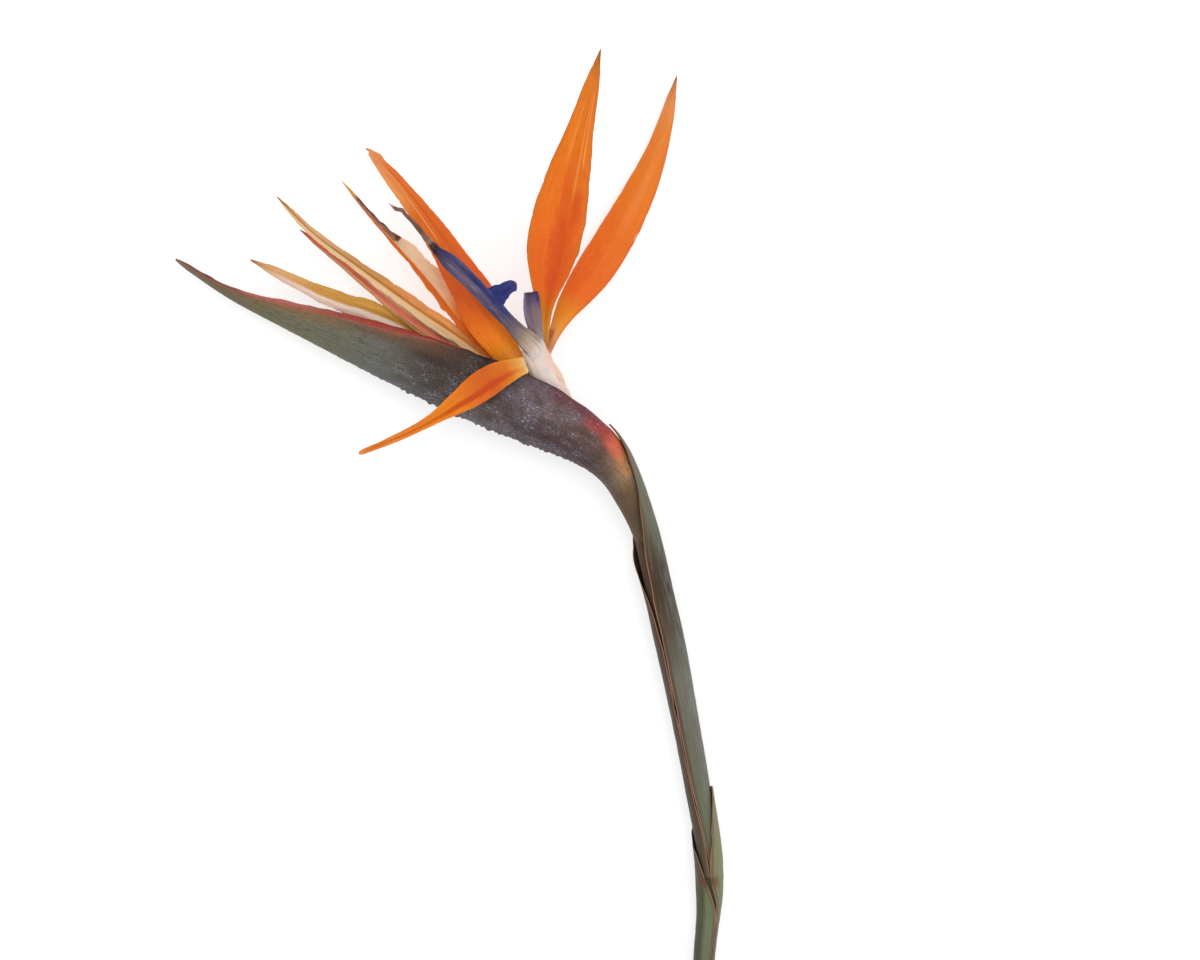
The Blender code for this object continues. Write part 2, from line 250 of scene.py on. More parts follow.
class Wire:
    """A socket in a skin's node tree. Arithmetic on it adds Math nodes, and node() any other."""

    def __init__(self, socket):
        self.socket = socket
        self.tree = socket.id_data

    def node(self, kind, settings, inputs, output=0):
        made = self.tree.nodes.new("ShaderNode" + kind)
        for key, value in settings.items():
            if key == "stops":
                ramp = made.color_ramp.elements
                ramp[0].position, ramp[1].position = value[0][0], value[-1][0]
                for place, _ in value[1:-1]:
                    ramp.new(place)
                for element, (_, colour) in zip(ramp, value):
                    element.color = shade(colour)
            else:
                setattr(made, key, value)
        for key, value in inputs.items():
            if isinstance(value, Wire):
                self.tree.links.new(value.socket, made.inputs[key])
            else:
                made.inputs[key].default_value = value
        return Wire(made.outputs[output])

    def feed(self, name, value):
        """Gives one socket of the skin's shader a wire, or a value that is the same all over."""
        socket = self.socket.node.inputs[name]
        if isinstance(value, Wire):
            self.tree.links.new(value.socket, socket)
        else:
            socket.default_value = value

    def fields(self, *names):
        """Fields stored in the mesh: along and across, unless others are named."""
        return [self.node("Attribute", {"attribute_name": name}, {}, "Fac")
                for name in names or ("along", "across")]

    def ramp(self, stops):
        return self.node("ValToRGB", {"stops": stops}, {"Fac": self})

    def math(self, operation, *values):
        return self.node("Math", {"operation": operation}, dict(enumerate(values)))

    def __add__(self, other):
        return self.math("ADD", self, other)

    def __sub__(self, other):
        return self.math("SUBTRACT", self, other)

    def __rsub__(self, other):
        return self.math("SUBTRACT", other, self)

    def __mul__(self, other):
        return self.math("MULTIPLY", self, other)

    def __truediv__(self, other):
        return self.math("DIVIDE", self, other)

    def __abs__(self):
        return self.math("ABSOLUTE", self)

    __radd__ = __add__
    __rmul__ = __mul__

    def band(self, low, high):
        """Rises smoothly from 0 at low to 1 at high, or falls if high is the lower one."""
        ends = {"Value": self, "From Min": low, "From Max": high}
        return self.node("MapRange", {"interpolation_type": "SMOOTHSTEP"}, ends)

    def strip(self, middle, half, soft):
        """1 within half of the middle, falling to 0 over the width of soft beyond."""
        return abs(self - middle).band(half + soft, half)


SHEEN = 0.024              # white light that the sheen of every skin adds to its own colour


def shade(code):
    """A colour as it is seen, from its six hexadecimal digits, as the light its skin gives back."""
    parts = np.array([int(code[i : i + 2], 16) for i in (0, 2, 4)]) / 255
    linear = np.where(parts <= 0.04045, parts / 12.92, ((parts + 0.055) / 1.055) ** 2.4)
    return (*np.maximum(linear - SHEEN, 0.1 * linear).tolist(), 1.0)


def tint(base, other, share):
    """A colour mixed with another: share is how much of the other shows."""
    inputs = {0: share, 6: base, 7: other}
    for key, value in inputs.items():
        if isinstance(value, str):
            inputs[key] = shade(value)
    maker = next(value for value in inputs.values() if isinstance(value, Wire))
    return maker.node("Mix", {"data_type": "RGBA"}, inputs, 2)


def coated(colour, *coats):
    """A colour under coats of others: each coat is a colour and how much of it shows."""
    for other, share in coats:
        colour = tint(colour, other, share)
    return colour


def paint(skin, colour, *coats):
    """Gives a skin its colour, coated."""
    skin.feed("Base Color", coated(colour, *coats))


def grain(skin, x, y, seed, detail=3.0):
    """Noise about 0.5 at a place given by two wires."""
    place = skin.node("CombineXYZ", {}, {"X": x, "Y": y, "Z": float(seed)})
    inputs = {"Vector": place, "Scale": 1.0, "Detail": detail, "Roughness": 0.55}
    return skin.node("TexNoise", {}, inputs)


GLOSS = 0.28               # the specular level of every skin
SCATTER = 0.6              # how far light spreads inside a petal, in millimetres


def finished(piece, node, roughness, glow=0.0):
    """Puts a piece in its solid's place, gives it a new skin and returns the skin's shader."""
    material = bpy.data.materials.new(piece.name)
    material.use_nodes = True
    piece.data.materials.append(material)
    skin = Wire(material.node_tree.nodes["Principled BSDF"].outputs[0])
    skin.feed("Roughness", roughness)
    skin.feed("Specular IOR Level", GLOSS)
    skin.feed("Subsurface Weight", glow)
    skin.feed("Subsurface Scale", SCATTER * MM)
    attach(piece, "root")
    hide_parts(node)
    return skin


def relief(skin, height, depth):
    """Raises a skin's surface by a wire's height, up to a depth in millimetres."""
    inputs = {"Height": height, "Distance": depth * MM, "Strength": 1.0}
    skin.feed("Normal", skin.node("Bump", {}, inputs, "Normal"))


STEM_ROWS, STEM_SIDES = 260, 64
CUT_FACE = np.array([0.02, 0.3, 0.6, 0.85, 0.97])      # shares of the stalk's radius
STEM_GREENS = [(0, "6f7558"), (0.3, "66694c"), (0.45, "5b4a3a"), (0.7, "4b3a31"), (1, "6b5a40")]
core = Midline("stem", "lower_sheath", stations=121)


def make_stem():
    """The stalk, round and slightly ribbed. Its first rings lie in the face it was cut at."""
    t = np.linspace(0, 1, STEM_ROWS)
    point, side, up = core.at(t)
    turn = turns(STEM_SIDES)
    radius = core.size(core.half, t)[:, None] * np.ones(STEM_SIDES)
    radius += 0.05 * np.cos(9 * turn) + 0.06 * ripple(3, (40, 9), t, np.cos(turn))
    radius[: len(CUT_FACE)] *= CUT_FACE[:, None]
    point[: len(CUT_FACE)] = point[0]
    cutting = np.zeros((STEM_ROWS, STEM_SIDES))
    cutting[: len(CUT_FACE)] = 1
    rings = placed((point, side, up), radius * np.cos(turn), radius * np.sin(turn))
    piece = lofted("stem_rod", rings, t, cosine=np.cos(turn), sine=np.sin(turn), cutting=cutting,
                   reach=radius / radius.max())
    skin = finished(piece, "stem", 0.5)
    along, cosine, sine, reach, cutting = skin.fields("along", "cosine", "sine", "reach", "cutting")
    fibre = grain(skin, skin.math("ARCTAN2", sine, cosine) * 9, along * 14, 1)
    pith = grain(skin, cosine * reach * 16, sine * reach * 16, 2)
    paint(
        skin, along.ramp(STEM_GREENS),
        # Painted highlight: the stalk's right side is painted a lighter grey-green, as if lit.
        ("9aa38a", cosine.band(-0.1, 0.9) * 0.35),
        ("2f2a20", fibre.band(0.5, 0.75) * 0.35),
        (tint("c9cda0", "7f7a4e", pith.band(0.52, 0.64) * 0.8), cutting))
    relief(skin, fibre, 0.15)


make_stem()


# ================================================================ the sheaths
# Two thin leaf sheaths wrap the stalk, each closed round it except for a narrow gap between its
# margins. The upper one runs up on to the back of the neck, out of the mouth of the lower one.
class Wrap:
    """How a thin leaf lies round a stalk, measured at places along the stalk: the angles of its
    two margins from the stalk's right side, in degrees, which lie on either side of the angle
    opening, and its outer radius at some columns between them, each from the nearest points."""

    def __init__(self, stalk, node, places, reach, opening, columns=9, nearest=6):
        self.stalk, self.between = stalk, np.linspace(0, 1, columns)
        faces = corners(node)
        point, side, up = stalk.at(places)
        rows = []
        for i, place in enumerate(places):
            met = cut(faces, point[i], np.cross(up[i], side[i]), reach)
            if len(met) < 8:
                continue
            angle = np.degrees(np.arctan2(met @ up[i], met @ side[i]))
            angle = (angle - opening) % 360 + opening - 360
            radius = np.linalg.norm(met, axis=1)
            start, end = angle.max(), angle.min()
            share = (start - angle) / max(start - end, 1e-6)
            table = [radius[np.argsort(np.abs(share - k))[:nearest]].max() for k in self.between]
            rows.append((place, start, end, *table))
        self.rows = np.array(rows[1:-1])

    def at(self, t, q, times=4):
        """The stalk's line, and the leaf's angles and outer radii, at t along and q from 0 to 1
        between the margins."""
        first, last = self.rows[0, 0], self.rows[-1, 0]
        place = first + (last - first) * t
        found = through(self.rows[:, 0], smoothed(self.rows[:, 1:], times), place)
        angle = np.radians(found[:, :1] + (found[:, 1:2] - found[:, :1]) * q)
        return self.stalk.at(place), angle, through(self.between, found[:, 2:].T, q).T


def folded(inner, outer):
    """Values in order round a thin leaf's section, from those on its inner and outer faces."""
    ring = min(1, inner.ndim - 1)
    return np.flip(np.concatenate([inner, np.flip(outer, ring)], axis=ring), ring)


def round_stalk(line, angle, inner, outer):
    """The rings of a thin leaf round a stalk's line, between two radii at angles round it."""
    return folded(*(placed(line, radius * np.cos(angle), radius * np.sin(angle))
                    for radius in (inner, outer)))


SHEATH_THICKNESS = 0.4
SHEATH_RIBS, SHEATH_RIB = 34, 0.035      # half their number, and their height
SEAM = radians(5)          # left open between the margins where they meet


def make_sheath(name, node, opening, rows, flare, seed, turned, closed, met):
    """Along the sheath, turned tells by how many degrees both margins are turned about the
    stem, closed by how many each is drawn towards the other, and met, from 0 to 1, how nearly
    the second then meets the first."""
    wrap = Wrap(core, node, np.linspace(0.002, 0.998, 300), reach=18, opening=opening)
    t, q = np.linspace(0, 1, rows), np.linspace(0, 1, 65)
    across = 1 - 2 * q
    line, angle, outer = wrap.at(t, q)
    angle += np.radians(profile(turned, t)[:, None] + profile(closed, t)[:, None] * across)
    further = angle[:, :1] - 2 * pi + SEAM - angle[:, -1:]
    angle += np.interp(t, *zip(*met))[:, None] * further * np.maximum(-across, 0)
    margin = np.abs(across) ** 10
    lift = flare * (0.6 + 0.5 * wobble(seed, 14, t))[:, None] * margin
    outer = outer + lift + 0.05 * ripple(seed, (60, 24), t, across)
    outer += SHEATH_RIB * np.cos(SHEATH_RIBS * pi * across)
    angle = angle + radians(2.2) * wobble(seed + 1, 30, t)[:, None] * np.sign(across) * margin
    inner = outer - SHEATH_THICKNESS * (1 - 0.6 * margin)
    both = folded(angle, angle)
    return lofted(name, round_stalk(line, angle, inner, outer), t, across=folded(across, across),
                  cosine=np.cos(both))


def sheath_skin(piece, node, greens, left, seed, vertex):
    """Grey-green, with a bluish bloom partly painted as a highlight on its right, painted shade
    browning its left, and pinkish-brown margins with a withered spot where they meet, at vertex
    along."""
    skin = finished(piece, node, 0.45)
    along, across, cosine = skin.fields("along", "across", "cosine")
    rim = abs(across)
    bloom = grain(skin, across * 14, along * 22, seed)
    line = grain(skin, across * 60, along * 9, seed + 1)
    speck = grain(skin, across * 46, along * 160, seed + 2)
    fine = grain(skin, across * 70, along * 420, seed + 3)
    meeting = rim.band(0.66, 0.98) * (along + bloom * 0.04).strip(vertex, 0.002, 0.026)
    paint(
        skin, along.ramp(greens),
        # Painted shade: the sheath's left side is painted darker and browner.
        (left, cosine.band(-0.1, -0.6) * 0.9),
        # Partly the real waxy bloom, partly a painted highlight: bluish where the right side faces
        # the light.
        ("7f8a88", cosine.band(0.2, 0.7) * cosine.band(1.02, 0.85) * bloom.band(0.35, 0.7) * 0.45),
        ("3f3a2c", line.band(0.52, 0.72) * 0.4),
        ("a39c80", line.band(0.45, 0.3) * 0.35),
        ("3a2f28", speck.band(0.7, 0.78) * 0.5),
        ("35352a", fine.band(0.54, 0.72) * 0.4),
        ("a8a68e", fine.band(0.44, 0.28) * 0.28),
        ("5c3a30", rim.band(0.88, 0.97) * 0.6),
        ("9c7a66", rim.band(0.965, 0.985) * (0.4 + bloom * 0.9)),
        ("6a4636", meeting * 0.8))
    skin.feed("Roughness", 0.42 + bloom * 0.2)
    relief(skin, line + bloom * 0.5, 0.12)


UPPER_GREENS = [(0, "6a7058"), (0.15, "6a6f5a"), (0.3, "6e6c60"), (0.45, "716e64"),
                (0.55, "5a5045"), (0.63, "4a3c32"), (0.71, "4d4238"), (0.8, "686350"),
                (0.9, "726c58"), (1, "74705c")]
LOWER_GREENS = [(0, "646a52"), (0.45, "6c745f"), (0.6, "6f7a5c"), (0.69, "7d7d58"),
                (0.8, "85835f"), (1, "8d8268")]
sheath_skin(
    make_sheath("lower_leaf_sheath", "lower_sheath", 92, 240, flare=0.1, seed=11,
                turned=[(0, -58), (0.45, -50), (0.6, -36), (0.7, 0), (1, 0)],
                closed=[(0, 4), (0.6, 4), (0.72, 0), (1, 0)],
                met=[(0, 1), (0.56, 1), (0.62, 0)]),
    "lower_sheath", LOWER_GREENS, "4b4d3f", 21, 0.72)
sheath_skin(
    make_sheath("upper_leaf_sheath", "upper_sheath", 150, 300, flare=0.2, seed=13,
                turned=[(0, -24), (0.2, -24), (0.45, -16), (0.7, -2), (0.8, 0), (1, 0)],
                closed=[(0, 8), (0.3, 15), (0.55, 15), (0.7, 8), (1, 0)],
                met=[(0, 1), (0.5, 1), (0.6, 0.7), (0.75, 0)]),
    "upper_sheath", UPPER_GREENS, "50443a", 31, 1.5)

# ================================================================ the spathe
# The beak: one tough boat-shaped bract folded along its keel, which grips the stem at the neck
# and runs out to a narrow tip. Its margins part where the florets stand out of it. Its skin is
# grey-green with a red margin, turns dusky purple with a waxy bloom, and is red at the nape.
SPATHE_ROWS = 300
SPATHE_STEPS = 91          # from margin to margin
SPATHE_WALL = 0.95         # millimetres thick at the keel, and half that at its margins
SPATHE_RIBS, SPATHE_RIB = 46, 0.045      # half their number on a side, and their height
NECK_RADIUS = 3.65         # where the spathe grips the stem
TOOTH = 0.75               # how high the longest teeth of the keel stand
SPATHE_ALONG = [(0, "665a48"), (0.05, "66523f"), (0.09, "72593f"), (0.12, "927a58"),
                (0.145, "86684e"), (0.175, "664942"), (0.22, "6e5250"), (0.3, "6c5a5e"),
                (0.38, "665b5d"), (0.45, "544a46"), (0.5, "4f4945"), (0.55, "5e5b54"),
                (0.6, "6a6962"), (0.7, "70705e"), (0.8, "757259"), (0.9, "7e705b"), (1, "8e8474")]


def make_spathe():
    """The folded beak: its outer and inner faces, with teeth along the keel and wavy margins."""
    fold = Midline("spathe", "stem", stations=81)
    t = np.linspace(0, 1, SPATHE_ROWS)
    a = np.linspace(1, -1, SPATHE_STEPS)
    point, side, up = fold.at(t)
    half = fold.size(fold.half, t)[:, None]
    thick = fold.size(fold.depth, t)[:, None] / 2
    # The neck narrows on to the stem, and the far end to a point.
    grip = (0.5 + 0.5 * np.cos(pi * np.clip(t / 0.1, 0, 1)))[:, None]
    nearest = core.at(np.linspace(0.6, 0.98, 400))[0]
    nearest = nearest[np.argmin(np.linalg.norm(nearest - point[0], axis=1))]
    point = point + (nearest - point[0]) * grip
    tip = np.clip((1.004 - t) / 0.03, 0, 1)[:, None] ** 0.6
    half, thick = ((size + (NECK_RADIUS - size) * grip) * tip for size in (half, thick))
    mouth = np.clip(fold.size(fold.gape / fold.depth, t), 0.03, 1)[:, None]
    reach = np.abs(a)
    margin, keel = reach**14, np.exp(-((reach / 0.055) ** 2))
    toothed = [(0, 0), (0.15, 0.1), (0.25, 0.8), (0.5, 0.9), (0.6, 0.35), (0.75, 0.15), (1, 0)]
    teeth = np.maximum(wobble(41, 230, t), -0.1) * profile(toothed, t)
    faces = []
    for inner in (0, 1):
        wall = np.minimum(SPATHE_WALL * inner * (1 - 0.55 * margin), 0.3 * half)
        shape = np.sin(pi * reach) ** 1.15 * (1 - mouth * reach**2) + mouth * reach**2
        out = (thick - wall) * shape * np.sign(a)
        out = out + 0.3 * ripple(42, (46, 10), t, a) * np.sin(pi * reach) ** 0.5 * (half / 12)
        ribs = SPATHE_RIB * np.cos(SPATHE_RIBS * pi * reach) * np.sign(a)
        out = out + ribs * np.sin(pi * reach) * (half / 12)
        away = -(half - wall) * np.cos(pi * reach)
        away = away - TOOTH * teeth[:, None] * keel * (1 - inner)
        away = away + 0.28 * wobble(43, 60, t)[:, None] * margin
        faces.append(placed((point, side, up), away, out))
    height = -np.cos(pi * reach)
    piece = lofted("spathe_beak", folded(*faces), t, across=folded(height, height),
                   around=folded(a, a), inside=folded(0 * a, 0 * a + 1))
    skin = finished(piece, "spathe", 0.5)
    along, across, around, inside = skin.fields("along", "across", "around", "inside")
    bloom = grain(skin, around * 8, along * 30, 1, 6)
    wax = grain(skin, around * 110, along * 260, 2, 5)
    line = grain(skin, around * 90, along * 12, 3)
    speck = grain(skin, around * 120, along * 330, 4)
    fine = grain(skin, around * 110, along * 460, 6)
    drift = grain(skin, around * 4, along * 6, 5) - 0.5
    lane = across + drift
    blotch = grain(skin, around * 18, along * 70, 7)
    fleck = grain(skin, around * 66, along * 150, 8)
    bare = along.band(0.4, 0.48) * across.band(-0.2, 0.4)
    waxed = along.strip(0.32, 0.12, 0.16) * (1 - bare) * bloom.band(0.4, 0.66) * wax.band(0.5, 0.62)
    far = along.strip(0.54, 0.06, 0.1) * across.band(0.3, -0.6)
    flecked = along.strip(0.37, 0.12, 0.1) * (1 - bare)
    outer = along.strip(0.74, 0.2, 0.12)
    edge = across + drift * 0.4 + (along - 0.7) * 1.2
    paint(
        skin, along.ramp(SPATHE_ALONG),
        # Dark brown beside the florets, and dusky brown blotches towards the keel.
        ("40312b", along.strip(0.46, 0.05, 0.08) * lane.band(-0.6, 0.5) * 0.8),
        ("43373a", along.strip(0.22, 0.08, 0.1) * lane.band(0.1, -0.7) * 0.7),
        # The bloom is a thin bluish wax, rubbed into fine streaks.
        ("9aa0b4", waxed * 0.65),
        ("8a97a2", far * bloom.band(0.36, 0.62) * wax.band(0.5, 0.64) * 0.65),
        ("3c2c2d", along.band(0.5, 0.4) * along.band(0.17, 0.22) * bloom.band(0.5, 0.3) * 0.5),
        # The red margin of the outer half, through olive brown to the green.
        ("8a6c4f", outer * edge.band(0.0, 0.4) * along.band(0.6, 0.75) * 0.8),
        ("6f5040", outer * edge.band(0.1, 0.5) * along.band(0.75, 0.6) * 0.8),
        ("a26550", outer * edge.band(0.5, 0.72) * 0.9),
        ("a8403a", outer * edge.band(0.6, 0.8) * along.band(0.78, 0.64)),
        ("c06a62", outer * edge.band(0.7, 0.95) * along.band(0.64, 0.78)),
        ("5f3b46", along.strip(0.93, 0.03, 0.05) * across.band(0.3, 0.9) * 0.8),
        # The nape is red above and orange where it turns into the tan of the neck.
        ("b8463f", along.strip(0.188, 0.022, 0.035) * (across + drift * 0.6).band(0.2, 0.62)),
        ("d86e50", along.strip(0.162, 0.008, 0.024) * lane.band(0.05, 0.5) * 0.9),
        ("c98a5a", along.strip(0.134, 0.008, 0.02) * lane.band(-0.1, 0.4) * 0.65),
        ("6e3a42", along.strip(0.25, 0.03, 0.05) * across.band(0.4, 0.9) * 0.8),
        # Blotches, the worn keel, veins, specks, and flecks of wax.
        ("4a493c", blotch.band(0.52, 0.72) * 0.5),
        ("938c72", blotch.band(0.46, 0.25) * along.band(0.5, 0.7) * 0.35),
        ("6b4a3c", across.band(-0.985, -1.0) * 0.5),
        ("3f2f2a", line.band(0.5, 0.75) * 0.42),
        ("b0aa9c", line.band(0.4, 0.25) * 0.28),
        ("38342e", fine.band(0.53, 0.7) * 0.5),
        ("a9a796", fine.band(0.46, 0.28) * 0.35),
        ("b9bdc2", speck.band(0.7, 0.78) * 0.35),
        ("c3c9d8", fleck.band(0.58, 0.68) * bloom.band(0.42, 0.6) * flecked * 0.6),
        ("2e2426", fleck.band(0.42, 0.32) * flecked * 0.5),
        ("b9a890", inside * across.band(0.995, 0.9) * 0.8))
    skin.feed("Roughness", 0.4 + bloom * 0.3)
    relief(skin, line + wax * 0.8, 0.22)


make_spathe()

# ================================================================ the faded floret
# The oldest floret, lowest in the mouth: a flat white stalk and three limp sepals, rolled
# lengthwise. They have faded to tan, cream and mustard, with pink and olive bands along them.
PETAL_ROWS, PETAL_SIDES = 170, 88
FOOT_ROWS = 20


def bump(x, middle, width, power=2):
    """1 at the middle, falling smoothly to nothing a few widths away."""
    return np.exp(-(((x - middle) / width) ** power))


def make_blade(name, node, root, seed, curl=1.4, thick=0.55, uneven=0.25, ragged=0.25,
               ridges=0.1, taper=0.07, bridged=NOWHERE, extra=None, outline=None, notch=None,
               foot=None):
    """A petal along the middle of its solid. curl is the power by which its margins rise;
    uneven, ragged and ridges are how far, in millimetres, its face waves, its margins wander and
    its veins stand out; its last part, taper long, narrows to a tip. extra and outline give
    more height and width at places along and across, and notch draws the tip back. foot is
    where its root runs on to in the joint of the floret, and the half width it has there."""
    body = Midline(node, root, bridged=bridged)
    t = np.sin(0.5 * pi * np.linspace(0, 1, PETAL_ROWS)) * 0.35 + np.linspace(0, 0.65, PETAL_ROWS)
    turn = turns(PETAL_SIDES)
    u = np.cos(turn)
    point, side, up = body.at(t)
    half = np.maximum(body.size(body.half, t), 0.2)[:, None]
    half = half * np.maximum(np.clip((1 - t) / taper, 0, 1) ** 0.5, 0.12)[:, None]
    wide = half / half.max()
    lift = body.size(body.lift, t)[:, None]
    height = lift * np.abs(u) ** curl + 0.5 * thick * np.sin(turn) * (0.35 + 0.65 * wide)
    height += uneven * wide * ripple(seed + 50, (26, 7), t, u)
    height += uneven * wide * wobble(seed + 51, 40, t)[:, None] * np.abs(u) ** 6
    height += ridges * wide * ripple(seed + 52, (6, 30), t, u)
    if extra:
        height = height + extra(t[:, None], u)
    wander = []
    for margin in (seed + 53, seed + 54):
        nicks = np.minimum(wobble(margin + 40, 110, t) + 0.6, 0) * 2
        wave = 0.7 * wobble(margin, 22, t) + 0.25 * wobble(margin + 20, 70, t) + nicks
        wander.append(wave[:, None])
    wander = np.where(u > 0, wander[0], wander[1])
    away = half * u + ragged * (0.2 + 0.8 * wide) * wander * np.sign(u) * np.abs(u) ** 8
    if outline:
        away = away + outline(t[:, None], u) * np.sign(u) * np.abs(u) ** 3
    rings = placed((point, side, up), away, height)
    if notch:
        back = notch(u) * np.clip((t[:, None] - 0.94) / 0.06, 0, 1) ** 1.5
        rings = rings - np.cross(up, side)[:, None] * back[..., None]
    if foot:
        end, s = np.array(foot[:3]), np.linspace(0, 1, FOOT_ROWS, endpoint=False)[:, None]
        reach = np.linalg.norm(end - point[0])
        bend = point[0] - np.cross(up[0], side[0]) * reach * 0.5
        middle = (1 - s) ** 2 * end + 2 * s * (1 - s) * bend + s**2 * point[0]
        scale = (foot[3] / half[0, 0]) ** (1 - s)
        rings = np.concatenate([middle[:, None] + (rings[0] - point[0]) * scale[..., None], rings])
        t = np.r_[(s[:, 0] - 1) * reach / body.length, t]
    return lofted(name, rings, t, across=u)


def make_petal(name, node, root, slot, grain_seed, stops, veins=0.16, **shape):
    """A blade in a ramp of colours from root to tip, with fine veins and soft mottling along it.
    Returns its skin's shader, its colour so far and the wires that more of it is made from."""
    skin = finished(make_blade(name, node, root, **shape), node, 0.5, glow=0.1)
    along, across = skin.fields()
    line = grain(skin, across * 30, along * 5, grain_seed)
    mottle = grain(skin, across * 4, along * 16, grain_seed + 1)
    fine = grain(skin, across * 30, along * 190, grain_seed + 2)
    colour = coated(
        along.ramp(stops),
        ("7a2a08", line.band(0.5, 0.8) * veins),
        ("ffb257", line.band(0.45, 0.2) * veins),
        ("8a3408", fine.band(0.54, 0.74) * 0.32),
        ("ffae50", fine.band(0.46, 0.26) * 0.4),
        ("b8480c", mottle.band(0.5, 0.72) * 0.15))
    relief(skin, line + fine * 0.3 + mottle * 0.5, 0.2)
    return skin, colour, along, across, mottle


DOME = 2.2                 # how far a stalk's end rises between the petals


def make_stalk(name, node, seed, stops):
    """The flat white stalk of a floret. Returns what make_petal does, without the mottling."""
    body = Midline(node, "stem", stations=31, edge=0.14)
    t = np.linspace(0, 1, 90)
    turn = turns(72)
    line = body.at(t)
    half, depth = body.size(body.half, t)[:, None], body.size(body.depth, t)[:, None] / 2
    swell = 1 + 0.03 * ripple(seed, (14, 7), t, np.cos(turn)) + 0.012 * np.cos(11 * turn)
    # Its section is a flattened round, and its far end a low dome under the petals' feet.
    wide = np.sign(np.cos(turn)) * np.abs(np.cos(turn)) ** 0.85
    high = np.sign(np.sin(turn)) * np.abs(np.sin(turn)) ** 0.75
    rings = placed(line, half * swell * wide, depth * swell * high)
    end, side, up = (each[-1] for each in line)
    bow = np.radians(np.linspace(8, 86, 12))[:, None, None]
    dome = end + np.cross(up, side) * DOME * np.sin(bow) + (rings[-1] - end) * np.cos(bow)
    rings = np.concatenate([rings, dome])
    t = np.r_[t, np.ones(len(dome))]
    piece = lofted(name, rings, t, across=np.cos(turn))
    skin = finished(piece, node, 0.45, glow=0.15)
    along, across = skin.fields()
    line = grain(skin, across * 16, along * 3, seed)
    relief(skin, line, 0.12)
    return skin, tint(along.ramp(stops), "c9a48c", line.band(0.5, 0.75) * 0.3), along, across


skin, colour, along, across = make_stalk("faded_stalk", "faded_floret_base", 61,
                                         [(0, "e4d1c8"), (1, "dcbf98")])
paint(skin, colour)

skin, colour, along, across, mottle = make_petal(
    "faded_tan_petal", "faded_tan_sepal", "faded_floret_base", "sepal_fading", 71,
    # The first stops are painted brighter than the sepal's own colour: painted light against the
    # shade under the second floret.
    [(0, "fdb060"), (0.1, "ffae60"), (0.2, "ffb268"), (0.4, "eb9c62"), (0.5, "d89c58"),
     (0.6, "d09c66"), (0.7, "d6a674"), (0.8, "e0ba8e"), (0.93, "ddac74"), (1, "8c5e3e")],
    seed=1, ragged=0.5, extra=lambda t, u: -0.3 * bump(u, 0.1, 0.14))
paint(
    skin, colour,
    ("ecc79a", across.band(-0.12, -0.35)),
    ("c07c3a", across.strip(0.0, 0.03, 0.2) * along.band(0.02, 0.2) * 0.8),
    ("9a6a30", across.strip(0.02, 0.01, 0.05) * along.band(0.02, 0.2) * 0.6),
    ("d3a04e", along.band(0.45, 0.85) * across.band(0.5, 0.9) * 0.5))

skin, colour, along, across, mottle = make_petal(
    "faded_long_petal", "faded_long_sepal", "faded_floret_base", "sepal_pale", 73,
    # The root end is painted brighter than the sepal's own colour: painted light against the shade
    # there.
    [(0, "ffd8a4"), (0.2, "ffdcb0"), (0.4, "eecaa0"), (0.6, "e8bf98"), (0.8, "ddb08c"),
     (0.92, "d9885f"), (1, "8b5444")],
    seed=2, extra=lambda t, u: 0.35 * np.cos(3.2 * pi * u) * np.sin(pi * t) ** 0.5)
drift = (mottle - 0.5) * 0.25
lane = across + drift
pink = (across + drift - along.band(0.6, 0.85) * 0.3).strip(-0.45, 0.2, 0.2)
# Its last factor keeps the olive band off the root end, so that painted light keeps the shaded root
# bright.
olive = lane.strip(0.62, 0.08, 0.14) * along.band(0.85, 0.6) * along.band(0.1, 0.35)
paint(
    skin, colour,
    ("e4866a", pink * along.band(0.0, 0.1)),
    ("d49c66", lane.band(-0.72, -0.88)),
    ("8f5e2c", across.band(-0.94, -1.0) * 0.4),
    ("c8863e", olive * 0.8),
    # The right margin's own orange, painted brighter towards the root as painted light against the
    # shade there.
    ("f4a055", across.band(0.6, 0.9) * along.band(0.6, 0.4) * 0.8))

skin, colour, along, across, mottle = make_petal(
    "faded_low_petal", "faded_low_sepal", "faded_floret_base", "sepal_pale", 75,
    [(0, "e0aa56"), (0.3, "dda650"), (0.6, "d8a250"), (0.75, "d6a258"), (0.85, "e6b478"),
     (0.93, "e3b27c"), (0.97, "d39a68"), (1, "9a4f34")],
    seed=3, ragged=0.4, extra=lambda t, u: -0.4 * bump(u, -0.08, 0.2) * np.sin(pi * t) ** 0.5)
drift = (mottle - 0.5) * 0.3
lane = across + drift
paint(
    skin, colour,
    ("e6c6b2", lane.band(0.0, -0.3) * along.band(0.97, 0.85)),
    ("f2e2d4", lane.strip(-0.4, 0.1, 0.15) * along.band(0.9, 0.7) * 0.7),
    ("c87a64", (across + drift * 0.4).band(-0.85, -1.0) * 0.6),
    ("b57a34", across.band(0.8, 1.0) * 0.5))

# ================================================================ the second floret
# A floret just past its best, behind the fresh one: a white stalk, one tall orange sepal with a
# split tip, and one folded sepal whose inner half has withered to a grey-brown shred.
skin, colour, along, across = make_stalk("second_stalk", "second_floret_base", 63,
                                         [(0, "e4d1c8"), (1, "e2a860")])
paint(skin, colour)

